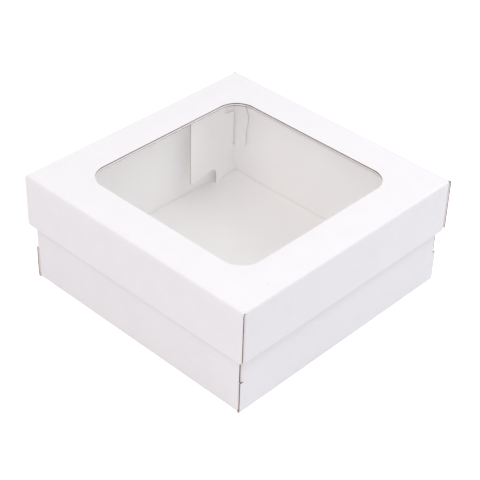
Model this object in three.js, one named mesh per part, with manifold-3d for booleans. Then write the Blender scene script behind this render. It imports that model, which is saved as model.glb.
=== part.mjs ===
// Two-piece catering box of white micro-flute board: a self-locking tray and a lift-off lid with a window.
// Millimetres, +Z up. The origin is the middle of the tray's underside.
// Front is -Y, back +Y, left -X and right +X.
import * as THREE from 'three';
import { mergeVertices } from 'three/addons/utils/BufferGeometryUtils.js';
import Module from 'manifold-3d';

const wasm = await Module();
wasm.setup();

// Driving dimensions: the board and its folds
const board = 1.5; // thickness of the corrugated board
const creaseRadius = 2.25; // outer radius of every folded crease
const clearance = 0.3; // gap between two boards that lie or turn beside each other
const arcSteps = 5; // facets in a quarter of a crease
const overrun = 1.5; // how far a cutter runs past the board that it cuts

// Driving dimensions: the closed box
const lidLength = 250; // along X, over the side skirts
const lidWidth = 250; // along Y, over the front and back skirts
const boxHeight = 105; // tray underside to lid top
const skirtDepth = 50;
const skirtCornerRadius = 3; // lower ends of the front and back skirts
const lidFlapLength = 46; // glued flap, from the side skirt inwards
const lidFlapTaper = 4; // how much the glued flap narrows along its lower edge
const lidPlay = 0.7; // between the lid's glued flaps and the tray

// Driving dimensions: the window
const windowLength = 180;
const windowWidth = 180;
const windowRadius = 20;
const filmThickness = 0.3;
const filmLap = 12; // glued margin of the film around the window

// Driving dimensions: the tray's corner locks, with heights above the surface it stands on
const lockLow = 31; // lower end of the corner slot
const lockHigh = 87; // upper end of the corner slot
const slotWidth = 2.7; // lower leg of the L-shaped slot, from the crease
const slotWideWidth = 18; // upper leg
const slotWideLow = 68; // where the slot starts to widen
const slotShoulderRise = 4.5; // how much the lower edge of the wide leg climbs
const tongueWaist = 16; // tongue, from its crease to its free edge, at the waist
const tongueWaistAt = 0.3; // share of its height where the waist ends
const tongueBulge = 1.8; // how far its shoulder stands out past the waist
const tongueBulgeAt = 0.62; // share of its height where the shoulder stands out most
const tongueTipRadius = 8;

// Driving dimensions: the tray's corner flaps
const flapLength = 71; // from the crease to the free edge
const flapLean = 9.5; // degrees that a flap springs back off the side wall
const flapPressBack = 8.5; // degrees from there to flat against the side wall
const flapFoot = 30; // length of flap that stands on the floor
const flapEdgeHeight = 21; // height of its lower edge past the foot
const flapFootRadius = 10; // rounded inner corner between foot and edge
const flapCornerRadius = 3;

// Worked-out places
const lidX = lidLength / 2;
const lidY = lidWidth / 2;
const lidInset = 2 * board + clearance + lidPlay;
const trayX = lidX - lidInset;
const trayY = lidY - lidInset;
const trayTop = boxHeight - board;
const rim = boxHeight - skirtDepth;
const innerRadius = creaseRadius - board;
const midRadius = creaseRadius - board / 2;
const wallInset = board + clearance; // a wall that tucks in behind another starts this far in
const stub = board; // straight stretch of a crease that runs into its panel
const sides = { left: -1, right: 1 };
const ends = { front: -1, back: 1 };

const whiteBoard = new THREE.MeshStandardMaterial({ color: 0xf1f0f3, roughness: 0.72, metalness: 0 });
const clearFilm = new THREE.MeshStandardMaterial({
  color: 0xf4f8fa,
  roughness: 0.06,
  metalness: 0,
  transparent: true,
  opacity: 0.18,
});

const vec = (x, y, z) => new THREE.Vector3(x, y, z);
const up = vec(0, 0, 1);

// Solid booleans
function toSolid(geometry) {
  geometry.deleteAttribute('normal');
  geometry.deleteAttribute('uv');
  const welded = mergeVertices(geometry, 1e-5);
  return new wasm.Manifold(new wasm.Mesh({
    numProp: 3,
    vertProperties: new Float32Array(welded.attributes.position.array),
    triVerts: new Uint32Array(welded.index.array),
  }));
}

function toGeometry(solid) {
  const mesh = solid.getMesh();
  const geometry = new THREE.BufferGeometry();
  geometry.setAttribute('position', new THREE.BufferAttribute(mesh.vertProperties, 3));
  geometry.setIndex(new THREE.BufferAttribute(mesh.triVerts, 1));
  geometry.computeVertexNormals();
  return geometry;
}

// A prism of a 2-D outline drawn along u and v, half its thickness to each side of the point `at`
function slab(outline, thickness, u, v, at) {
  const geometry = new THREE.ExtrudeGeometry(outline, {
    depth: thickness,
    bevelEnabled: false,
    curveSegments: arcSteps,
  });
  geometry.translate(0, 0, -thickness / 2);
  const basis = new THREE.Matrix4().makeBasis(u, v, u.clone().cross(v));
  geometry.applyMatrix4(basis.setPosition(at));
  return toSolid(geometry);
}

function join(...solids) {
  return solids.reduce((whole, next) => whole.add(next));
}

function piece(name, solid, material = whiteBoard) {
  const mesh = new THREE.Mesh(toGeometry(solid), material);
  mesh.name = name;
  return mesh;
}

// Outlines
function rectangle(left, low, right, high) {
  const shape = new THREE.Shape();
  shape.moveTo(left, low);
  shape.lineTo(right, low);
  shape.lineTo(right, high);
  shape.lineTo(left, high);
  shape.closePath();
  return shape;
}

function roundedPath(path, halfLength, halfWidth, radius) {
  const x = halfLength - radius;
  const y = halfWidth - radius;
  path.moveTo(-x, -halfWidth);
  path.lineTo(x, -halfWidth);
  path.absarc(x, -y, radius, -Math.PI / 2, 0, false);
  path.absarc(x, y, radius, 0, Math.PI / 2, false);
  path.absarc(-x, y, radius, Math.PI / 2, Math.PI, false);
  path.absarc(-x, -y, radius, Math.PI, 1.5 * Math.PI, false);
  path.closePath();
  return path;
}

// Section of a crease: board that arrives along v with its outer face at u = creaseRadius,
// and turns towards -u around the origin
function creaseSection(sweep, lead) {
  const shape = new THREE.Shape();
  shape.moveTo(creaseRadius, -lead);
  if (lead > 0) shape.lineTo(creaseRadius, 0);
  shape.absarc(0, 0, creaseRadius, 0, sweep, false);
  shape.lineTo(innerRadius * Math.cos(sweep), innerRadius * Math.sin(sweep));
  shape.absarc(0, 0, innerRadius, sweep, 0, true);
  if (lead > 0) shape.lineTo(innerRadius, -lead);
  shape.closePath();
  return shape;
}

function crease(length, u, v, at, sweep = Math.PI / 2, lead = stub) {
  return slab(creaseSection(sweep, lead), length, u, v, at);
}

// An upright crease between two heights
function uprightCrease(low, high, u, v, x, y, sweep) {
  return crease(high - low, u, v, vec(x, y, (low + high) / 2), sweep);
}

// Tray: the floor and the two walls that the corner flaps hang on
function trayFloor() {
  const x = trayX - creaseRadius;
  const y = trayY - creaseRadius;
  const solid = slab(rectangle(-x, -y, x, y), board, vec(1, 0, 0), vec(0, 1, 0), vec(0, 0, board / 2));
  return piece('tray_floor', solid);
}

const foldX = trayX - wallInset - creaseRadius; // where a front or back wall turns into its flaps
const slotEdgeX = trayX - wallInset; // raw edge of that wall beside the slot
const wallFoot = creaseRadius + clearance; // lowest point of the upright creases
const heldSweep = THREE.MathUtils.degToRad(90 + flapLean - flapPressBack);

function endWallOutline() {
  const right = [
    [foldX, creaseRadius],
    [foldX, lockLow],
    [slotEdgeX, lockLow],
    [slotEdgeX, lockHigh],
    [foldX, lockHigh],
    [foldX, trayTop],
  ];
  const left = right.map(([x, z]) => [-x, z]).reverse();
  return new THREE.Shape([...right, ...left].map(([x, z]) => new THREE.Vector2(x, z)));
}

function trayEndWall(name, end) {
  const outward = vec(0, end, 0);
  const middle = end * (trayY - board / 2);
  const foldY = end * (trayY - creaseRadius);
  const parts = [
    slab(endWallOutline(), board, vec(1, 0, 0), up, vec(0, middle, 0)),
    crease(2 * (trayX - creaseRadius - clearance), outward, vec(0, 0, -1), vec(0, foldY, creaseRadius)),
  ];
  for (const side of Object.values(sides)) {
    const along = vec(side, 0, 0);
    parts.push(uprightCrease(wallFoot, lockLow, outward, along, side * foldX, foldY, heldSweep));
    parts.push(uprightCrease(lockHigh, trayTop, outward, along, side * foldX, foldY, heldSweep));
  }
  return piece(name, join(...parts));
}

// Tray: the two outer walls, which reach the corners and are cut back where a tongue turns in
const tongueFoldX = trayX - creaseRadius;
const tongueFoldY = trayY - wallInset - creaseRadius;

function traySideWall(name, side) {
  const profile = rectangle(-trayY, creaseRadius, trayY, trayTop);
  const middle = side * (trayX - board / 2);
  let solid = join(
    slab(profile, board, vec(0, 1, 0), up, vec(middle, 0, 0)),
    crease(2 * trayY, vec(side, 0, 0), vec(0, 0, -1), vec(side * (trayX - creaseRadius), 0, creaseRadius)),
  );
  for (const end of Object.values(ends)) {
    const recess = rectangle(tongueFoldY, lockLow, trayY + overrun, lockHigh);
    const cutter = slab(recess, board + 2 * overrun, vec(0, end, 0), up, vec(middle, 0, 0));
    solid = solid.subtract(cutter);
  }
  return piece(name, solid);
}

// Corner tongue: turns in behind the raw edge of the end wall and lies flat on its inner face
function tongueOutline() {
  const low = lockLow + clearance;
  const high = lockHigh - clearance;
  const waistHeight = low + tongueWaistAt * (high - low);
  const bulgeHeight = low + tongueBulgeAt * (high - low);
  const bulge = tongueWaist + tongueBulge;
  const r = tongueTipRadius;
  const shape = new THREE.Shape();
  shape.moveTo(0, low);
  shape.lineTo(tongueWaist - r, low);
  shape.absarc(tongueWaist - r, low + r, r, -Math.PI / 2, 0, false);
  shape.lineTo(tongueWaist, waistHeight);
  const middle = (waistHeight + bulgeHeight) / 2;
  shape.bezierCurveTo(tongueWaist, middle, bulge, middle, bulge, bulgeHeight);
  shape.bezierCurveTo(bulge, (bulgeHeight + high) / 2, tongueWaist / 2, high, 0, high);
  shape.closePath();
  return shape;
}

function cornerTongue(name, side, end) {
  const outward = vec(side, 0, 0);
  const inward = vec(-side, 0, 0);
  const x = side * tongueFoldX;
  const y = end * tongueFoldY;
  const solid = join(
    crease(
      lockHigh - lockLow - 2 * clearance, outward, vec(0, end, 0), vec(x, y, (lockLow + lockHigh) / 2),
      Math.PI / 2, 0,
    ),
    slab(tongueOutline(), board, inward, up, vec(x, y + end * midRadius, 0)),
  );
  return piece(name, solid);
}

// Corner flap: drawn flat from its crease, then turned about the crease by the angle it springs back
function flapOutline() {
  const low = board + clearance;
  const high = trayTop - filmThickness - clearance;
  const foot = flapFoot + flapFootRadius; // centre of the inner corner
  const end = flapLength - flapCornerRadius; // centre of the two outer corners
  const shape = new THREE.Shape();
  shape.moveTo(0, low);
  shape.lineTo(flapFoot, low);
  shape.lineTo(flapFoot, flapEdgeHeight - flapFootRadius);
  shape.absarc(foot, flapEdgeHeight - flapFootRadius, flapFootRadius, Math.PI, Math.PI / 2, true);
  shape.lineTo(end, flapEdgeHeight);
  shape.absarc(end, flapEdgeHeight + flapCornerRadius, flapCornerRadius, -Math.PI / 2, 0, false);
  shape.lineTo(flapLength, high - flapCornerRadius);
  shape.absarc(end, high - flapCornerRadius, flapCornerRadius, 0, Math.PI / 2, false);
  shape.lineTo(0, high);
  shape.lineTo(0, lockHigh);
  shape.lineTo(slotWideWidth, lockHigh);
  shape.lineTo(slotWideWidth, slotWideLow + slotShoulderRise);
  shape.lineTo(slotWidth, slotWideLow);
  shape.lineTo(slotWidth, lockLow);
  shape.lineTo(0, lockLow);
  shape.closePath();
  return shape;
}

function cornerFlap(name, side, end) {
  const solid = slab(flapOutline(), board, vec(0, -end, 0), up, vec(side * midRadius, 0, 0));
  const hinge = new THREE.Group();
  hinge.position.set(side * foldX, end * (trayY - creaseRadius), 0);
  hinge.rotation.z = THREE.MathUtils.degToRad(-side * end * flapLean);
  hinge.add(piece(name, solid));
  return hinge;
}

// Lid: a top panel with the window cut out of it, and the film glued under it
function lidTopPanel() {
  const x = lidX - creaseRadius;
  const y = lidY - creaseRadius;
  const outline = rectangle(-x, -y, x, y);
  outline.holes.push(roundedPath(new THREE.Path(), windowLength / 2, windowWidth / 2, windowRadius));
  const solid = slab(outline, board, vec(1, 0, 0), vec(0, 1, 0), vec(0, 0, boxHeight - board / 2));
  return piece('lid_top_panel', solid);
}

function windowFilm() {
  const outline = roundedPath(
    new THREE.Shape(), windowLength / 2 + filmLap, windowWidth / 2 + filmLap, windowRadius,
  );
  const at = vec(0, 0, boxHeight - board - filmThickness / 2);
  return piece('window_film', slab(outline, filmThickness, vec(1, 0, 0), vec(0, 1, 0), at), clearFilm);
}

// Lid: front and back skirts run the full length and show their raw ends at the corners
function skirtOutline() {
  const r = skirtCornerRadius;
  const shape = new THREE.Shape();
  shape.moveTo(-lidX + r, rim);
  shape.lineTo(lidX - r, rim);
  shape.absarc(lidX - r, rim + r, r, -Math.PI / 2, 0, false);
  shape.lineTo(lidX, boxHeight - creaseRadius);
  shape.lineTo(-lidX, boxHeight - creaseRadius);
  shape.lineTo(-lidX, rim + r);
  shape.absarc(-lidX + r, rim + r, r, Math.PI, 1.5 * Math.PI, false);
  shape.closePath();
  return shape;
}

function lidEndSkirt(name, end) {
  const solid = join(
    slab(skirtOutline(), board, vec(1, 0, 0), up, vec(0, end * (lidY - board / 2), 0)),
    crease(2 * lidX, vec(0, end, 0), up, vec(0, end * (lidY - creaseRadius), boxHeight - creaseRadius)),
  );
  return piece(name, solid);
}

// Lid: side skirts tuck in between those two and turn into flaps glued to their inner faces
const lidFoldY = lidY - wallInset - creaseRadius;
const lidFoldTop = boxHeight - creaseRadius - clearance;

function lidSideSkirt(name, side) {
  const outward = vec(side, 0, 0);
  const x = side * (lidX - creaseRadius);
  const parts = [
    slab(
      rectangle(-lidFoldY, rim, lidFoldY, boxHeight - creaseRadius), board, vec(0, 1, 0), up,
      vec(side * (lidX - board / 2), 0, 0),
    ),
    crease(2 * (lidY - creaseRadius - clearance), outward, up, vec(x, 0, boxHeight - creaseRadius)),
  ];
  for (const end of Object.values(ends)) {
    parts.push(uprightCrease(rim, lidFoldTop, outward, vec(0, end, 0), x, end * lidFoldY, Math.PI / 2));
  }
  return piece(name, join(...parts));
}

function lidCornerFlap(name, side, end) {
  const outline = new THREE.Shape();
  outline.moveTo(0, rim);
  outline.lineTo(lidFlapLength - lidFlapTaper, rim);
  outline.lineTo(lidFlapLength, rim + lidFlapTaper);
  outline.lineTo(lidFlapLength, lidFoldTop - lidFlapTaper);
  outline.lineTo(lidFlapLength - lidFlapTaper, lidFoldTop);
  outline.lineTo(0, lidFoldTop);
  outline.closePath();
  const at = vec(side * (lidX - creaseRadius), end * (lidFoldY + midRadius), 0);
  return piece(name, slab(outline, board, vec(-side, 0, 0), up, at));
}

const tray = new THREE.Group();
tray.add(trayFloor());
for (const [name, end] of Object.entries(ends)) tray.add(trayEndWall(`tray_${name}_wall`, end));
for (const [name, side] of Object.entries(sides)) tray.add(traySideWall(`tray_${name}_wall`, side));

const lid = new THREE.Group();
lid.add(lidTopPanel(), windowFilm());
for (const [name, end] of Object.entries(ends)) lid.add(lidEndSkirt(`lid_${name}_skirt`, end));
for (const [name, side] of Object.entries(sides)) lid.add(lidSideSkirt(`lid_${name}_skirt`, side));

for (const [endName, end] of Object.entries(ends)) {
  for (const [sideName, side] of Object.entries(sides)) {
    const corner = `${endName}_${sideName}`;
    tray.add(cornerFlap(`tray_corner_flap_${corner}`, side, end));
    tray.add(cornerTongue(`tray_lock_tongue_${corner}`, side, end));
    lid.add(lidCornerFlap(`lid_corner_flap_${corner}`, side, end));
  }
}

const box = new THREE.Group();
box.add(tray, lid);

export default box;
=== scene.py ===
# A catering box of white micro-flute board. Each panel is built as the real board is: two white liners over a
# brown fluted core, with folds that bend the three sheets together.
import math

import bpy
import numpy as np
from mathutils import Matrix, Vector


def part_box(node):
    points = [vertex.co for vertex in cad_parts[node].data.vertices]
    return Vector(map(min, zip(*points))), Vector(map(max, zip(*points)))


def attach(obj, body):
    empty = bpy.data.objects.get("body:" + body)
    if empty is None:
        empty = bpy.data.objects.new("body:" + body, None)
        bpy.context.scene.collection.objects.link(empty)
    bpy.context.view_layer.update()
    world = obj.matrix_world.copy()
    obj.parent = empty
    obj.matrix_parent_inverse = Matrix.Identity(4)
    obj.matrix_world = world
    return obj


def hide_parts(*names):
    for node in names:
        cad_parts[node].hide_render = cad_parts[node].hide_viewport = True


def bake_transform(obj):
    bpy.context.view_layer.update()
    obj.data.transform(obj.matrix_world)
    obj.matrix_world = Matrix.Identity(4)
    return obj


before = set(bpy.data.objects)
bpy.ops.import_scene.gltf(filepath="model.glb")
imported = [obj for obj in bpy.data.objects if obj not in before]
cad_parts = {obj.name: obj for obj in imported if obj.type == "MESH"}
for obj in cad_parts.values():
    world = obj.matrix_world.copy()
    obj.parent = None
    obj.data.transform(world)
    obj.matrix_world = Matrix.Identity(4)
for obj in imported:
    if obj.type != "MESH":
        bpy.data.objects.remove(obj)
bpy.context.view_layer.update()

# Lengths are in millimetres, in the frame's axes. A mesh is brought to metres when it is made.
MM = 0.001
CLOSE = 1e-6  # places nearer to each other than this count as one


def extent(node):
    """Lowest and highest corner of a node of the frame, in millimetres."""
    low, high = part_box(node)
    return np.round(np.array(low) / MM, 4), np.round(np.array(high) / MM, 4)


# Sizes read off the frame
_, (FLOOR_X, FLOOR_Y, BOARD) = extent("tray_floor")
_, (TRAY_X, TRAY_Y, TRAY_TOP) = extent("tray_right_wall")
(_, _, RIM), (LID_X, LID_Y, _) = extent("lid_back_skirt")
_, (_, _, HEIGHT) = extent("lid_top_panel")
(_, _, TONGUE_LOW), (_, _, TONGUE_HIGH) = extent("tray_lock_tongue_back_right")
(_, _, FLAP_LOW), (_, _, FLAP_HIGH) = extent("tray_corner_flap_back_right")
(_, _, FILM_LOW), (FILM_HALF, _, FILM_HIGH) = extent("window_film")

# Folds
CREASE_RADIUS = TRAY_X - FLOOR_X  # of a fold's outside
MID_RADIUS = CREASE_RADIUS - BOARD / 2
CLEARANCE = 0.3  # between boards that lie or turn beside each other
WALL_INSET = BOARD + CLEARANCE  # of an end wall's flaps and of a tongue, under the wall outside them
FOLD_X = TRAY_X - WALL_INSET - CREASE_RADIUS  # where an end wall turns into its flaps
SLOT_EDGE_X = TRAY_X - WALL_INSET
TONGUE_FOLD_Y = TRAY_Y - WALL_INSET - CREASE_RADIUS
LID_FOLD_Y = LID_Y - WALL_INSET - CREASE_RADIUS
LID_FOLD_TOP = HEIGHT - CREASE_RADIUS - CLEARANCE
QUARTER = math.pi / 2
FOLD_LENGTH = MID_RADIUS * QUARTER  # length of a quarter fold along the middle of the board

# Corner locks and flaps, as the solids have them
LOCK_LOW = TONGUE_LOW - CLEARANCE
LOCK_HIGH = TONGUE_HIGH + CLEARANCE
SLOT_WIDTH, SLOT_WIDE_WIDTH = 2.7, 18  # below and above the slot's shoulder
SLOT_WIDE_LOW, SLOT_SHOULDER_RISE = 68, 4.5
TONGUE_WAIST, TONGUE_BULGE, TONGUE_TIP_RADIUS = 16, 1.8, 8
TONGUE_WAIST_AT, TONGUE_BULGE_AT = 0.3, 0.62  # shares of the tongue's height
FLAP_LENGTH, FLAP_LEAN = 71, math.radians(9.5)
FLAP_FOOT, FLAP_EDGE_HEIGHT, FLAP_FOOT_RADIUS, FLAP_CORNER_RADIUS = 30, 21, 10, 3
LID_FLAP_LENGTH, LID_FLAP_TAPER = 46, 4
SKIRT_CORNER_RADIUS = 3
WINDOW_HALF, WINDOW_RADIUS = 90, 20

# Corrugated board
PITCH = 2.2  # from one flute to the next
LINER = 0.2
MEDIUM = 0.18  # the fluted core
WAVE = BOARD / 2 - LINER - MEDIUM / 2  # height of a flute over the middle of the board
SAG = 0.03  # how far a liner sinks between two flutes
SAMPLES = 8  # facets in a flute
FOLD_STEPS = 10  # facets in a quarter fold
LID_FLUTES = 1.4  # shifts the top panel's flutes, picked by the look of the window's back edge
SCORE_WIDTH = 0.5  # grooves that the creasing rule leaves on each side of a fold
SCORE_DEPTH_OUTER, SCORE_DEPTH_INNER = 0.14, 0.42
SCORE_STEPS = [SCORE_WIDTH * k / 2 for k in range(-4, 5)]  # where a sheet is cut to follow a groove
SCORE_RIPPLE = 0.3  # how much deeper a groove is over a flute
GROOVE_SHADE_FROM = 0.3  # share of a groove's depth from which the inner liner gets painted shade

SIDES = {"left": -1, "right": 1}
ENDS = {"front": -1, "back": 1}


# Outlines. The first coordinate runs along the flutes and the second across them.
def rectangle(a0, b0, a1, b1):
    return [(a0, b0), (a1, b0), (a1, b1), (a0, b1)]


def arc(a, b, radius, start, end, steps=8):
    """Points of an arc, with its angles in degrees."""
    angles = np.radians(np.linspace(start, end, steps + 1))
    return [(a + radius * math.cos(t), b + radius * math.sin(t)) for t in angles]


def rounded_square(half, radius, steps=12):
    inner = half - radius
    corners = [(inner, inner, 0), (-inner, inner, 90), (-inner, -inner, 180), (inner, -inner, 270)]
    return [p for a, b, turn in corners for p in arc(a, b, radius, turn, turn + 90, steps)]


def curve(p0, p1, p2, p3, steps=12):
    """Points of a cubic curve after its first one."""
    t = np.linspace(0, 1, steps + 1)[1:, None]
    points = (1 - t) ** 3 * np.array(p0) + 3 * t * (1 - t) ** 2 * np.array(p1)
    points = points + 3 * t**2 * (1 - t) * np.array(p2) + t**3 * np.array(p3)
    return [tuple(p) for p in points]


def swapped(outline):
    return [(b, a) for a, b in outline]


# Sheets. A sheet is cut into strips across the flutes, so that a wave runs through it and its cut edges show
# the wave.
def stretches(loops, level):
    """Where the outline lies along the flutes at one level, as pairs of ends."""
    hits = []
    for loop in loops:
        for (a0, b0), (a1, b1) in zip(loop, loop[1:] + loop[:1]):
            if (b0 > level) != (b1 > level):
                hits.append(a0 + (a1 - a0) * (level - b0) / (b1 - b0))
    hits.sort()
    return list(zip(hits[::2], hits[1::2]))


def without(ones, others):
    """The parts of some stretches that others don't cover."""
    left = []
    for start, end in ones:
        for low, high in others:
            if high <= start or low >= end:
                continue
            if low > start:
                left.append((start, low))
            start = max(start, high)
        if end - start > CLOSE:
            left.append((start, end))
    return left


def between(values, low, high):
    return [v for v in values if low + CLOSE < v < high - CLOSE]


def sheet_plan(loops, levels, cuts):
    """The vertices and faces of a flat sheet, cut at some levels across the flutes and some cuts along them.
    A vertex is (a, b, side) and a face is (its vertices, kind). Side 1 and kind 1 are the outer face, side -1
    and kind -1 the inner one, and kind 0 is a cut edge."""
    corners = [b for loop in loops for _, b in loop]
    low, high = min(corners) - CLOSE, max(corners) + CLOSE
    rows = sorted({round(v, 5) for v in [*levels, *corners] if low <= v <= high})
    nudge = 2e-5  # more than a row's rounding, so that each strip is read inside the outline
    margin = 1e-4  # least distance from a cut to the outline
    strips = [
        (stretches(loops, b0 + nudge), stretches(loops, b1 - nudge)) for b0, b1 in zip(rows[:-1], rows[1:])
    ]
    index, vertices, faces = {}, [], []

    def point(a, b, side):
        key = (round(a, 4), round(b, 4), side)
        if key not in index:
            index[key] = len(vertices)
            vertices.append((a, b, side))
        return index[key]

    ends = [set() for _ in rows]
    for k, (below, above) in enumerate(strips):
        ends[k].update(a for pair in below for a in pair)
        ends[k + 1].update(a for pair in above for a in pair)

    for k, (below, above) in enumerate(strips):
        b0, b1 = rows[k], rows[k + 1]
        for (l0, r0), (l1, r1) in zip(below, above):
            inner = [c for c in cuts if max(l0, l1) + margin < c < min(r0, r1) - margin]
            lows, highs = [l0, *inner, r0], [l1, *inner, r1]
            for i in range(len(lows) - 1):
                line0 = [lows[i], *sorted(between(ends[k], lows[i], lows[i + 1])), lows[i + 1]]
                line1 = [highs[i], *sorted(between(ends[k + 1], highs[i], highs[i + 1])), highs[i + 1]]
                for side in (1, -1):
                    face = [point(a, b0, side) for a in line0] + [point(a, b1, side) for a in reversed(line1)]
                    face = list(dict.fromkeys(face))
                    if len(face) > 2:
                        faces.append((face if side > 0 else face[::-1], side))
            left = [point(l0, b0, 1), point(l1, b1, 1), point(l1, b1, -1), point(l0, b0, -1)]
            right = [point(r0, b0, -1), point(r1, b1, -1), point(r1, b1, 1), point(r0, b0, 1)]
            faces += [(left, 0), (right, 0)]

    for k, b in enumerate(rows):
        before = strips[k - 1][1] if k else []
        after = strips[k][0] if k < len(strips) else []
        for regions, forward in ((without(after, before), False), (without(before, after), True)):
            for low_end, high_end in regions:
                line = sorted({low_end, high_end, *between([*ends[k], *cuts], low_end, high_end)})
                face = [point(a, b, 1) for a in line] + [point(a, b, -1) for a in reversed(line)]
                faces.append((face[::-1] if forward else face, 0))
    return vertices, faces


def fold(s, w, sweep=QUARTER):
    """Bends a board where s is under 0, about a centre that lies at s = 0, one middle radius inside the
    board. Returns how far each point lies out from the centre, and how far along."""
    turn = np.clip(-s / MID_RADIUS, 0, sweep)
    past = np.maximum(-s - MID_RADIUS * sweep, 0)
    out = (MID_RADIUS + w) * np.cos(turn) - past * np.sin(turn)
    along = np.maximum(s, 0) - (MID_RADIUS + w) * np.sin(turn) - past * np.cos(turn)
    return out, along


class Board:
    """One panel of corrugated board. Its outline is flat, and place turns (a, b, w) into x, y and z, where w
    is the height over the middle of the board, towards the outside of the box. The scores are the creasing
    rule's grooves, and the cuts and levels let a sheet bend there."""

    def __init__(self, outline, place, flute_start=0.0, cuts=(), scores_a=(), scores_b=(), levels=()):
        self.loops = outline
        self.place = place
        self.flute_start = flute_start
        self.scores_a = scores_a
        self.scores_b = scores_b
        self.cuts = sorted({*cuts, *(s + d for s in scores_a for d in SCORE_STEPS)})
        low = min(b for loop in outline for _, b in loop)
        high = max(b for loop in outline for _, b in loop)
        step = PITCH / SAMPLES
        first = math.ceil((low + flute_start) / step)
        last = math.floor((high + flute_start) / step)
        flutes = [k * step - flute_start for k in range(first, last + 1)]
        self.levels = [*flutes, *levels, *(s + d for s in scores_b for d in SCORE_STEPS)]

    def phase(self, b):
        return np.cos(2 * math.pi * (b + self.flute_start) / PITCH)

    def groove(self, a, b):
        """Depth of the creasing rule's groove, as a share of the deepest."""
        depth = np.zeros_like(a)
        for values, scores in ((a, self.scores_a), (b, self.scores_b)):
            for score in scores:
                depth = np.maximum(depth, np.exp(-(((values - score) / SCORE_WIDTH) ** 2)))
        return depth * (1 + SCORE_RIPPLE * self.phase(b)) / (1 + SCORE_RIPPLE)

    def outer_liner(self, a, b, side):
        top = BOARD / 2 - SAG * (1 - self.phase(b)) / 2 - SCORE_DEPTH_OUTER * self.groove(a, b)
        return np.where(side > 0, top, top - LINER)

    def inner_liner(self, a, b, side):
        bottom = -BOARD / 2 + SAG * (1 + self.phase(b)) / 2 + SCORE_DEPTH_INNER * self.groove(a, b)
        return np.where(side > 0, bottom + LINER, bottom)

    def medium(self, a, b, side):
        room = 1 - SCORE_DEPTH_INNER * self.groove(a, b) / WAVE
        return WAVE * room * self.phase(b) + side * MEDIUM / 2


# CREASE is the inner liner's grooves, coloured with painted shade
BARE, CUT, CREASE, HOLLOW = range(4)  # materials of a board's faces


def face_material(sheet_side, kind, groove, face):
    """The liners, with sheet_side 1 and -1, are bare outside and at their cuts, and the inner one has painted
    shade in its grooves. The core, with sheet_side 0, shows its cuts. All other faces are turned to the
    hollows."""
    if sheet_side == 0:
        return HOLLOW if kind else CUT
    if kind == -sheet_side:
        return HOLLOW
    return CREASE if kind < 0 and groove[face].mean() > GROOVE_SHADE_FROM else BARE


def is_mirrored(place, a, b):
    """Whether a place turns a board's faces outside in, read off three short steps from one of its points."""
    start = np.array([[a], [b], [0.0]])
    moved = [np.array(place(*(start + 0.01 * axis[:, None]))) - np.array(place(*start)) for axis in np.eye(3)]
    return np.linalg.det(np.hstack(moved)) < 0


def new_piece(name, points, faces, materials, sharp_from=40):
    """An object of some faces, smooth but for the edges that are sharper than an angle in degrees."""
    mesh = bpy.data.meshes.new(name)
    mesh.from_pydata((np.array(points) * MM).tolist(), [], faces)
    for material in materials:
        mesh.materials.append(material)
    mesh.shade_smooth()
    mesh.set_sharp_from_angle(angle=math.radians(sharp_from))
    piece = bpy.data.objects.new(name, mesh)
    bpy.context.scene.collection.objects.link(piece)
    return piece


def new_board_piece(name, boards, materials):
    """One piece of all the sheets of some boards. Its materials are in the order of BARE to HOLLOW."""
    points, faces, indices = [], [], []
    for board in boards:
        vertices, plan = sheet_plan(board.loops, board.levels, board.cuts)
        a, b, side = np.array(vertices).T
        mirrored = is_mirrored(board.place, np.median(a), np.median(b))
        groove = board.groove(a, b)
        for sheet, sheet_side in ((board.outer_liner, 1), (board.medium, 0), (board.inner_liner, -1)):
            start = sum(len(p) for p in points)
            points.append(np.array(board.place(a, b, sheet(a, b, side))).T)
            for face, kind in plan:
                faces.append([start + i for i in (face[::-1] if mirrored else face)])
                indices.append(face_material(sheet_side, kind, groove, face))
    piece = new_piece(name, np.concatenate(points), faces, materials)
    piece.data.polygons.foreach_set("material_index", indices)
    piece.data.update()
    return piece


# Materials
def new_material(name):
    material = bpy.data.materials.new(name)
    material.use_nodes = True
    nodes = material.node_tree.nodes
    return material, nodes, material.node_tree.links, nodes["Principled BSDF"]


def noise(nodes, links, scale, detail=3.0, roughness=0.55):
    """A noise in the piece's own space, with the scale in cycles a metre."""
    place = nodes.new("ShaderNodeTexCoord")
    texture = nodes.new("ShaderNodeTexNoise")
    texture.inputs["Scale"].default_value = scale
    texture.inputs["Detail"].default_value = detail
    texture.inputs["Roughness"].default_value = roughness
    links.new(place.outputs["Object"], texture.inputs["Vector"])
    return texture.outputs["Fac"]


def ramp(nodes, links, value, stops):
    """A colour ramp over a value, with two (place, colour) stops."""
    node = nodes.new("ShaderNodeValToRGB")
    links.new(value, node.inputs["Fac"])
    for element, (place, colour) in zip(node.color_ramp.elements, stops):
        element.position, element.color = place, (*colour, 1)
    return node.outputs["Color"]


def mixed(nodes, links, factor, one, other, blend="MIX"):
    """A colour mix. Each of its three inputs is a socket or a plain value."""
    node = nodes.new("ShaderNodeMix")
    node.data_type, node.blend_type = "RGBA", blend
    sockets = [s for s in node.inputs if s.name == "Factor" and s.type == "VALUE"]
    sockets += [s for s in node.inputs if s.type == "RGBA"]
    for socket, value in zip(sockets, (factor, one, other)):
        if isinstance(value, bpy.types.NodeSocket):
            links.new(value, socket)
        else:
            socket.default_value = (*value, 1) if isinstance(value, tuple) else value
    return next(s for s in node.outputs if s.type == "RGBA")


def ranged(nodes, links, value, low, high):
    """A value of 0 to 1, brought to another range."""
    node = nodes.new("ShaderNodeMapRange")
    links.new(value, node.inputs["Value"])
    node.inputs["To Min"].default_value = low
    node.inputs["To Max"].default_value = high
    return node.outputs["Result"]


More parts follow.
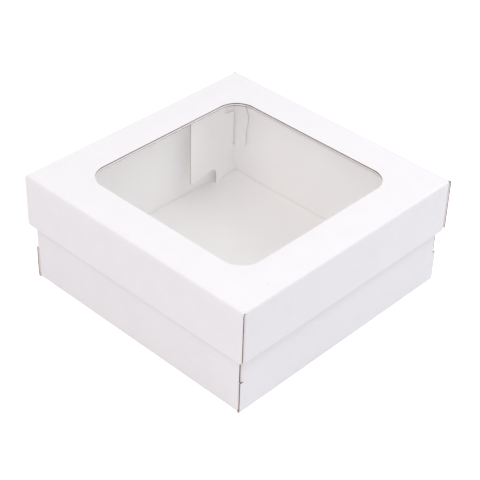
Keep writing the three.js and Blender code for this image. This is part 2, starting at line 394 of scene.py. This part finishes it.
def bump(nodes, links, height, distance, shader):
    """Roughens a shader by a height, with the distance in metres."""
    node = nodes.new("ShaderNodeBump")
    node.inputs["Distance"].default_value = distance
    node.inputs["Strength"].default_value = 1.0
    links.new(height, node.inputs["Height"])
    links.new(node.outputs["Normal"], shader.inputs["Normal"])


def white_liner(name, shade):
    """Bleached liner: a faint cloudiness, short fibres and, here and there, a brown fleck."""
    material, nodes, links, shader = new_material(name)
    tones = [tuple(shade * c for c in tone) for tone in ((0.95, 0.93, 0.93), (0.97, 0.95, 0.95))]
    cloud = ramp(nodes, links, noise(nodes, links, 45, 4), list(zip((0.3, 0.7), tones)))
    grain = noise(nodes, links, 1400, 5, 0.7)
    fibres = ramp(nodes, links, grain, [(0.25, (0.965, 0.963, 0.962)), (0.7, (1, 1, 1))])
    paper = mixed(nodes, links, 1.0, cloud, fibres, "MULTIPLY")
    flecks = ramp(nodes, links, noise(nodes, links, 520, 2, 0.5), [(0.81, (0, 0, 0)), (0.835, (1, 1, 1))])
    fleck_colour = (0.62, 0.5, 0.4)
    links.new(mixed(nodes, links, flecks, paper, fleck_colour), shader.inputs["Base Color"])
    links.new(ranged(nodes, links, noise(nodes, links, 300, 3), 0.58, 0.72), shader.inputs["Roughness"])
    shader.inputs["Specular IOR Level"].default_value = 0.35
    bump(nodes, links, noise(nodes, links, 1100, 6, 0.65), 0.00006, shader)
    return material


def brown_kraft(name, dark, light):
    """Kraft of the flutes and of the liners' hidden faces, with cut fibres across it."""
    material, nodes, links, shader = new_material(name)
    tone = ramp(nodes, links, noise(nodes, links, 350, 4), [(0.3, dark), (0.7, light)])
    grain = noise(nodes, links, 3000, 4, 0.7)
    fibres = ramp(nodes, links, grain, [(0.25, (0.8, 0.78, 0.75)), (0.75, (1, 1, 1))])
    links.new(mixed(nodes, links, 1.0, tone, fibres, "MULTIPLY"), shader.inputs["Base Color"])
    links.new(ranged(nodes, links, noise(nodes, links, 900, 3), 0.8, 0.95), shader.inputs["Roughness"])
    shader.inputs["Specular IOR Level"].default_value = 0.2
    bump(nodes, links, noise(nodes, links, 2500, 5, 0.7), 0.0001, shader)
    return material


def dried_glue():
    """Cream-coloured glue, a little uneven and waxy."""
    material, nodes, links, shader = new_material("dried_glue")
    dark, light = (0.8, 0.75, 0.7), (0.9, 0.86, 0.82)
    tone = ramp(nodes, links, noise(nodes, links, 160, 3), [(0.3, dark), (0.7, light)])
    links.new(tone, shader.inputs["Base Color"])
    links.new(ranged(nodes, links, noise(nodes, links, 500, 3), 0.4, 0.6), shader.inputs["Roughness"])
    bump(nodes, links, noise(nodes, links, 900, 4), 0.00008, shader)
    return material


def clear_film():
    """Clear film: it lets light straight through, and mirrors more of it at a glancing angle."""
    facing_share, glance_power = 0.065, 3  # share mirrored head on, and how steeply it rises to a glance
    material, nodes, links, shader = new_material("clear_film")
    nodes.remove(shader)
    clear = nodes.new("ShaderNodeBsdfTransparent")
    clear.inputs["Color"].default_value = (0.997, 0.998, 0.997, 1)
    gloss = nodes.new("ShaderNodeBsdfGlossy")
    gloss.inputs["Color"].default_value = (1, 1, 1, 1)
    links.new(ranged(nodes, links, noise(nodes, links, 25, 3), 0.03, 0.07), gloss.inputs["Roughness"])
    facing = nodes.new("ShaderNodeLayerWeight")
    glance = nodes.new("ShaderNodeMath")
    glance.operation = "POWER"
    glance.inputs[1].default_value = glance_power
    links.new(facing.outputs["Facing"], glance.inputs[0])
    mix = nodes.new("ShaderNodeMixShader")
    links.new(ranged(nodes, links, glance.outputs[0], facing_share, 1.0), mix.inputs["Fac"])
    links.new(clear.outputs["BSDF"], mix.inputs[1])
    links.new(gloss.outputs["BSDF"], mix.inputs[2])
    links.new(mix.outputs["Shader"], nodes["Material Output"].inputs["Surface"])
    return material


# The krafts are picked to match how the cut edges look in the photograph: one kraft, darkened by painted
# shade on the end walls, in their hollows and round the window, and paled by painted light on the tray's
# flaps and tongues.
# The second white liner, at a shade of 0.8, is painted shade for the inner liner's grooves.
WHITE, GROOVE_SHADE = white_liner("white_liner", 1.0), white_liner("groove_shade_liner", 0.8)
KRAFT = brown_kraft("brown_kraft", (0.4, 0.22, 0.12), (0.54, 0.33, 0.2))
# painted shade: a darker copy of the kraft, for edges that face away from the light
PAINTED_SHADE_KRAFT = brown_kraft("painted_shade_kraft", (0.24, 0.105, 0.045), (0.32, 0.16, 0.08))
# painted shade: a still darker copy of the kraft, for the end walls' hollows
SHADED_KRAFT = brown_kraft("shaded_kraft", (0.08, 0.04, 0.025), (0.13, 0.07, 0.04))
# painted light: a paler copy of the kraft, for the edges of flaps and tongues
PAINTED_LIGHT_KRAFT = brown_kraft("painted_light_kraft", (0.56, 0.46, 0.39), (0.7, 0.6, 0.53))
GLUE, FILM = dried_glue(), clear_film()


def board_piece(name, boards, cuts=KRAFT, hollows=KRAFT):
    """Makes one piece of some boards. A fold stands for no node."""
    # the third material is the painted shade of the grooves
    piece = new_board_piece(name, boards, [WHITE, cuts, GROOVE_SHADE, hollows])
    return piece


def dress(name, body, node, board, cuts=KRAFT, hollows=KRAFT):
    """Makes one panel that rides on a body and stands for a node of the frame."""
    piece = board_piece(name, [board], cuts, hollows)
    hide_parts(node)
    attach(piece, body)


def blend_fold(piece, place, start, end):
    """Bakes the piece's placement into its mesh. It works out where one (a, b) of the middle layer and
    another lie, but does not use them.
    """
    points = [np.array(place(*np.array([[a], [b], [0.0]]))).ravel() * MM for a, b in (start, end)]
    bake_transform(piece)


# Places of the panels: each turns (a, b, w) into x, y and z
FOLD_CUTS = [FOLD_LENGTH * k / FOLD_STEPS for k in range(FOLD_STEPS + 1)]
CUTS_UNDER_0 = [-c for c in FOLD_CUTS]


def floor_place(a, b, w):
    return a, b, BOARD / 2 - w


def end_wall_place(end):
    def place(a, b, w):
        out, along = fold(b, w)
        return a, end * (FLOOR_Y + out), CREASE_RADIUS + along
    return place


def side_wall_place(side):
    def place(a, b, w):
        out, along = fold(a, w)
        return side * (FLOOR_X + out), b, CREASE_RADIUS + along
    return place


def upright_fold_place(side, end, sweep):
    """The fold from an end wall to a corner flap. Here a is the length along the fold from the wall."""
    def place(a, b, w):
        out, along = fold(-a, w, sweep)
        return side * (FOLD_X - along), end * (FLOOR_Y + out), b
    return place


def flap_place(side, end):
    turn = -side * end * FLAP_LEAN

    def place(a, b, w):
        x, y = side * (MID_RADIUS + w), -end * a
        cos, sin = math.cos(turn), math.sin(turn)
        return side * FOLD_X + x * cos - y * sin, end * FLOOR_Y + x * sin + y * cos, b
    return place


def tongue_place(side, end):
    """Here a is the height and b the length from the tongue's fold, which has b under 0."""
    def place(a, b, w):
        out, along = fold(b, w)
        return side * (FLOOR_X - along), end * (TONGUE_FOLD_Y + out), a
    return place


def lid_top_place(a, b, w):
    return b, a, HEIGHT - BOARD / 2 + w


def lid_end_place(end):
    def place(a, b, w):
        out, along = fold(a, w)
        return b, end * (LID_Y - CREASE_RADIUS + out), HEIGHT - CREASE_RADIUS - along
    return place


def lid_side_place(side):
    def place(a, b, w):
        out, along = fold(b, w)
        return side * (LID_X - CREASE_RADIUS + out), a, HEIGHT - CREASE_RADIUS - along
    return place


def lid_corner_place(side, end):
    """The fold from a side skirt to a lid flap, and the flap itself where a is past the fold."""
    def place(a, b, w):
        out, along = fold(-a, w)
        return side * (LID_X - CREASE_RADIUS + out), end * (LID_FOLD_Y - along), b
    return place


# Tray
FOLD_LOW = CREASE_RADIUS
WALL_FLUTES = FLOOR_Y + FOLD_LENGTH  # flutes run on from the floor through the fold


def end_wall_outline():
    """The wall over its bottom fold, with the raw edges beside the corner slots standing out."""
    wall = TRAY_TOP - CREASE_RADIUS
    low, high = LOCK_LOW - CREASE_RADIUS, LOCK_HIGH - CREASE_RADIUS
    fold_half = TRAY_X - CREASE_RADIUS - CLEARANCE
    right = [
        (fold_half, -FOLD_LENGTH), (fold_half, 0), (FOLD_X, 0), (FOLD_X, low),
        (SLOT_EDGE_X, low), (SLOT_EDGE_X, high), (FOLD_X, high), (FOLD_X, wall),
    ]
    return [right + [(-a, b) for a, b in reversed(right)]]


def side_wall_outline():
    wall = TRAY_TOP - CREASE_RADIUS
    low, high = LOCK_LOW - CREASE_RADIUS, LOCK_HIGH - CREASE_RADIUS
    right = [
        (-FOLD_LENGTH, TRAY_Y), (low, TRAY_Y), (low, TONGUE_FOLD_Y),
        (high, TONGUE_FOLD_Y), (high, TRAY_Y), (wall, TRAY_Y),
    ]
    return [right + [(a, -b) for a, b in reversed(right)]]


def tongue_outline():
    """Drawn as (length from the fold, height), then turned so that the height comes first."""
    low, high = TONGUE_LOW, TONGUE_HIGH
    waist = low + TONGUE_WAIST_AT * (high - low)
    bulge_height = low + TONGUE_BULGE_AT * (high - low)
    bulge = TONGUE_WAIST + TONGUE_BULGE
    middle = (waist + bulge_height) / 2
    r = TONGUE_TIP_RADIUS
    over_bulge = (bulge_height + high) / 2
    points = [(0, low), *arc(TONGUE_WAIST - r, low + r, r, -90, 0), (TONGUE_WAIST, waist)]
    points += curve((TONGUE_WAIST, waist), (TONGUE_WAIST, middle), (bulge, middle), (bulge, bulge_height))
    points += curve((bulge, bulge_height), (bulge, over_bulge), (TONGUE_WAIST / 2, high), (0, high))
    return [swapped(points)]


def flap_outline():
    """Drawn as (length from the fold, height). The slot is cut out of the edge at the fold."""
    r, foot_r = FLAP_CORNER_RADIUS, FLAP_FOOT_RADIUS
    points = [(0, FLAP_LOW), (FLAP_FOOT, FLAP_LOW)]
    points += arc(FLAP_FOOT + foot_r, FLAP_EDGE_HEIGHT - foot_r, foot_r, 180, 90)
    points += arc(FLAP_LENGTH - r, FLAP_EDGE_HEIGHT + r, r, -90, 0)
    points += arc(FLAP_LENGTH - r, FLAP_HIGH - r, r, 0, 90)
    points += [
        (0, FLAP_HIGH), (0, LOCK_HIGH), (SLOT_WIDE_WIDTH, LOCK_HIGH),
        (SLOT_WIDE_WIDTH, SLOT_WIDE_LOW + SLOT_SHOULDER_RISE), (SLOT_WIDTH, SLOT_WIDE_LOW),
        (SLOT_WIDTH, LOCK_LOW), (0, LOCK_LOW),
    ]
    return [points]


def make_tray():
    outline = rectangle(-FLOOR_X, -FLOOR_Y, FLOOR_X, FLOOR_Y)
    floor = Board([outline], floor_place, scores_a=[-FLOOR_X, FLOOR_X], scores_b=[-FLOOR_Y, FLOOR_Y])
    dress("floor_board", "tray", "tray_floor", floor)
    for end_name, end in ENDS.items():
        node = f"tray_{end_name}_wall"
        wall = Board(
            end_wall_outline(), end_wall_place(end), WALL_FLUTES,
            scores_b=[-FOLD_LENGTH, 0], levels=CUTS_UNDER_0,
        )
        # painted shade on the end walls' cut edges and hollows
        dress(f"{node}_board", "tray", node, wall, PAINTED_SHADE_KRAFT, SHADED_KRAFT)
    for side_name, side in SIDES.items():
        node = f"tray_{side_name}_wall"
        wall = Board(
            side_wall_outline(), side_wall_place(side), cuts=CUTS_UNDER_0, scores_a=[-FOLD_LENGTH, 0]
        )
        dress(f"{node}_board", "tray", node, wall)
    for end_name, end in ENDS.items():
        for side_name, side in SIDES.items():
            make_corner_flap(f"{end_name}_{side_name}", side, end)
            make_tongue(f"{end_name}_{side_name}", side, end)


def make_corner_flap(name, side, end):
    """A corner flap, and its fold under and over the slot."""
    flutes = WALL_FLUTES - CREASE_RADIUS  # they run on from the end wall
    flap = Board(flap_outline(), flap_place(side, end), flutes)
    node = f"tray_corner_flap_{name}"
    # painted light on the flap's cut edges and hollows
    dress(f"corner_flap_{name}_board", f"flap_{name}", node, flap, PAINTED_LIGHT_KRAFT, PAINTED_LIGHT_KRAFT)

    sweep = QUARTER + FLAP_LEAN
    length = MID_RADIUS * sweep
    cuts = [length * k / FOLD_STEPS for k in range(FOLD_STEPS + 1)]
    place = upright_fold_place(side, end, sweep)
    strips = [rectangle(0, FOLD_LOW, length, LOCK_LOW), rectangle(0, LOCK_HIGH, length, FLAP_HIGH)]
    piece = board_piece(f"corner_flap_{name}_fold", [Board([s], place, flutes, cuts=cuts) for s in strips])
    blend_fold(piece, place, (0.0, HEIGHT / 2), (length, HEIGHT / 2))


def make_tongue(name, side, end):
    """A lock tongue and its fold."""
    flutes = TONGUE_FOLD_Y + FOLD_LENGTH  # they run on from the side wall
    place = tongue_place(side, end)
    tongue = Board(tongue_outline(), place, flutes)
    node = f"tray_lock_tongue_{name}"
    # painted light on the tongue's cut edges and hollows
    dress(f"lock_tongue_{name}_board", f"tongue_{name}", node, tongue, PAINTED_LIGHT_KRAFT, PAINTED_LIGHT_KRAFT)

    outline = rectangle(TONGUE_LOW, -FOLD_LENGTH, TONGUE_HIGH, 0)
    piece = board_piece(f"lock_tongue_{name}_fold", [Board([outline], place, flutes, levels=CUTS_UNDER_0)])
    blend_fold(piece, place, (HEIGHT / 2, -FOLD_LENGTH), (HEIGHT / 2, 0.0))


# Lid
SKIRT_DEPTH = HEIGHT - CREASE_RADIUS - RIM  # under the top fold


def end_skirt_outline():
    """Drawn as (depth under the top fold, x)."""
    r = SKIRT_CORNER_RADIUS
    right = [(-FOLD_LENGTH, LID_X), *arc(SKIRT_DEPTH - r, LID_X - r, r, 90, 0)]
    return [right + [(a, -b) for a, b in reversed(right)]]


def side_skirt_outline():
    """Drawn as (y, depth under the top fold)."""
    fold_half = LID_Y - CREASE_RADIUS - CLEARANCE
    right = [(fold_half, -FOLD_LENGTH), (fold_half, 0), (LID_FOLD_Y, 0), (LID_FOLD_Y, SKIRT_DEPTH)]
    return [right + [(-a, b) for a, b in reversed(right)]]


def lid_flap_outline():
    """Drawn as (length from the side skirt, height), fold included."""
    end, taper = FOLD_LENGTH + LID_FLAP_LENGTH, LID_FLAP_TAPER
    return [[
        (0, RIM), (end - taper, RIM), (end, RIM + taper), (end, LID_FOLD_TOP - taper),
        (end - taper, LID_FOLD_TOP), (0, LID_FOLD_TOP),
    ]]


def make_lid():
    x, y = LID_X - CREASE_RADIUS, LID_Y - CREASE_RADIUS
    hole = rounded_square(WINDOW_HALF, WINDOW_RADIUS)
    top = Board([rectangle(-y, -x, y, x), hole], lid_top_place, LID_FLUTES)
    # painted shade on the cut edges and hollows round the window
    dress("lid_top_board", "lid", "lid_top_panel", top, PAINTED_SHADE_KRAFT, PAINTED_SHADE_KRAFT)
    for end_name, end in ENDS.items():
        node = f"lid_{end_name}_skirt"
        skirt = Board(end_skirt_outline(), lid_end_place(end), cuts=CUTS_UNDER_0, scores_a=[0])
        dress(f"{node}_board", "lid", node, skirt)
    side_flutes = x + FOLD_LENGTH
    flap_flutes = CREASE_RADIUS - HEIGHT - side_flutes
    for side_name, side in SIDES.items():
        node = f"lid_{side_name}_skirt"
        skirt = Board(
            side_skirt_outline(), lid_side_place(side), side_flutes, scores_b=[0], levels=CUTS_UNDER_0
        )
        dress(f"{node}_board", "lid", node, skirt)
        for end_name, end in ENDS.items():
            node = f"lid_corner_flap_{end_name}_{side_name}"
            flap = Board(lid_flap_outline(), lid_corner_place(side, end), flap_flutes, cuts=FOLD_CUTS)
            dress(f"{node}_board", "lid", node, flap)


def make_film():
    """A thin sheet that waves a little between its glued edges."""
    thickness, step, wave_height = 0.08, 4.0, 0.07
    (length_a, shift_a), (length_b, shift_b) = (23, 1.3), (31, 0.4)
    outline = rounded_square(FILM_HALF, WINDOW_RADIUS)
    grid = list(np.arange(-FILM_HALF + step, FILM_HALF, step))
    vertices, plan = sheet_plan([outline], grid, grid)
    a, b, side = np.array(vertices).T
    waves = np.sin(a / length_a + shift_a) * np.sin(b / length_b + shift_b)
    height = (FILM_LOW + FILM_HIGH) / 2 + wave_height * waves + side * thickness / 2
    faces = [face for face, _ in plan]
    piece = new_piece("window_film_sheet", np.stack([a, b, height], 1), faces, [FILM])
    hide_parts("window_film")
    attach(piece, "lid")


def make_glue():
    """The bead of glue that was pressed out between the film and the cut edge of the window."""
    # Its section, as (inwards from the edge, over the film)
    section = [(0, -0.12), (0, 0.45), (0.3, 0.36), (0.65, 0.12), (0.9, -0.12)]
    loops = [rounded_square(WINDOW_HALF - inwards, WINDOW_RADIUS - inwards) for inwards, _ in section]
    points = [(x, y, FILM_HIGH + over) for loop, (_, over) in zip(loops, section) for x, y in loop]
    count = len(loops[0])
    faces = []
    for k in range(len(section)):
        this, after = k * count, (k + 1) % len(section) * count
        for i in range(count):
            j = (i + 1) % count
            faces.append((this + i, this + j, after + j, after + i))
    piece = new_piece("window_glue_bead", points, faces, [GLUE], sharp_from=60)
    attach(piece, "lid")


# Studio
WORLD_COLOUR, WORLD_STRENGTH = (0.955, 0.935, 1.045), 0.67
FLOOR_HALF = 4.0  # in metres, as all of the studio is
FLOOR_GLOW = 0.6  # what the floor adds for the camera, so that it shows white and keeps a faint shadow
LAMP_SIZE, LAMP_TARGET = 0.9, (0, 0, 0.05)

# The photograph's view: direction to the camera, roll, distance and focal length in pixels
AZIMUTH, ELEVATION, ROLL = 42.82, 36.70, 1.94
DISTANCE = 1.1795
AIM = (0.01035, -0.0076, 0.05)
FOCAL_PIXELS, IMAGE_PIXELS, SENSOR = 1397.5, 480, 36.0


def shown(nodes, links):
    """1 for rays that show a thing to the camera, directly or through gloss or glass, and 0 for lighting."""
    path = nodes.new("ShaderNodeLightPath")
    value = path.outputs["Is Camera Ray"]
    for ray in ("Is Glossy Ray", "Is Transmission Ray"):
        either = nodes.new("ShaderNodeMath")
        either.operation = "MAXIMUM"
        links.new(value, either.inputs[0])
        links.new(path.outputs[ray], either.inputs[1])
        value = either.outputs[0]
    return value


def make_floor():
    """A pale floor that takes the box's shadow."""
    half = FLOOR_HALF
    corners = [(-half, -half, 0), (half, -half, 0), (half, half, 0), (-half, half, 0)]
    mesh = bpy.data.meshes.new("studio_floor")
    mesh.from_pydata(corners, [], [(0, 1, 2, 3)])
    floor = bpy.data.objects.new("studio_floor", mesh)
    bpy.context.scene.collection.objects.link(floor)
    material, nodes, links, shader = new_material("studio_floor")
    nodes.remove(shader)
    lit = nodes.new("ShaderNodeBsdfDiffuse")
    lit.inputs["Color"].default_value = (0.8, 0.8, 0.8, 1)
    glow = nodes.new("ShaderNodeEmission")
    glow.inputs["Color"].default_value = (1, 1, 1, 1)
    glow_level = nodes.new("ShaderNodeMath")
    glow_level.operation = "MULTIPLY"
    glow_level.inputs[1].default_value = FLOOR_GLOW
    links.new(shown(nodes, links), glow_level.inputs[0])
    links.new(glow_level.outputs[0], glow.inputs["Strength"])
    both = nodes.new("ShaderNodeAddShader")
    links.new(lit.outputs["BSDF"], both.inputs[0])
    links.new(glow.outputs["Emission"], both.inputs[1])
    links.new(both.outputs["Shader"], nodes["Material Output"].inputs["Surface"])
    mesh.materials.append(material)


def make_world():
    """Even light all round, on a background that shows white."""
    world = bpy.data.worlds.new("studio")
    world.use_nodes = True
    nodes, links = world.node_tree.nodes, world.node_tree.links
    lighting = nodes["Background"]
    lighting.inputs["Color"].default_value = (*WORLD_COLOUR, 1)
    lighting.inputs["Strength"].default_value = WORLD_STRENGTH
    white = nodes.new("ShaderNodeBackground")
    white.inputs["Color"].default_value = (1, 1, 1, 1)
    mix = nodes.new("ShaderNodeMixShader")
    links.new(shown(nodes, links), mix.inputs["Fac"])
    links.new(lighting.outputs["Background"], mix.inputs[1])
    links.new(white.outputs["Background"], mix.inputs[2])
    links.new(mix.outputs["Shader"], nodes["World Output"].inputs["Surface"])
    bpy.context.scene.world = world


def make_lamp(name, at, power, colour):
    """A soft lamp that points at the box, with its power in watts."""
    light = bpy.data.lights.new(name, "AREA")
    light.shape, light.size, light.energy, light.color = "DISK", LAMP_SIZE, power, colour
    lamp = bpy.data.objects.new(name, light)
    lamp.location = at
    lamp.rotation_mode = "QUATERNION"
    lamp.rotation_quaternion = (Vector(LAMP_TARGET) - Vector(at)).to_track_quat("-Z", "Y")
    bpy.context.scene.collection.objects.link(lamp)


def make_camera():
    azimuth, elevation, roll = (math.radians(v) for v in (AZIMUTH, ELEVATION, ROLL))
    level = math.cos(elevation)
    back = Vector((math.sin(azimuth) * level, -math.cos(azimuth) * level, math.sin(elevation)))
    right = Vector((math.cos(azimuth), math.sin(azimuth), 0))
    up = back.cross(right)
    rolled_right = math.cos(roll) * right + math.sin(roll) * up
    rolled_up = math.cos(roll) * up - math.sin(roll) * right
    data = bpy.data.cameras.new("camera")
    data.sensor_width = SENSOR
    data.lens = FOCAL_PIXELS / IMAGE_PIXELS * SENSOR
    data.clip_start, data.clip_end = 0.05, 50
    camera = bpy.data.objects.new("camera", data)
    turn = Matrix((rolled_right, rolled_up, back)).transposed().to_4x4()
    camera.matrix_world = Matrix.Translation(Vector(AIM) + back * DISTANCE) @ turn
    bpy.context.scene.collection.objects.link(camera)
    bpy.context.scene.camera = camera


make_tray()
make_lid()
make_film()
make_glue()
make_floor()
make_world()
make_lamp("front", (0.0, -1.0, 1.16), 5.2, (1.0, 0.96, 0.8))
make_lamp("right", (0.73, 0.68, 1.16), 6.5, (0.9, 0.97, 0.91))
make_lamp("back", (-0.75, 0.75, 1.11), 0.5, (0.95, 1.0, 0.95))
make_camera()
bpy.context.scene.view_settings.view_transform = "Standard"
# White walls light each other many times over inside the box
bpy.context.scene.cycles.diffuse_bounces = 12
bpy.context.scene.cycles.max_bounces = 16
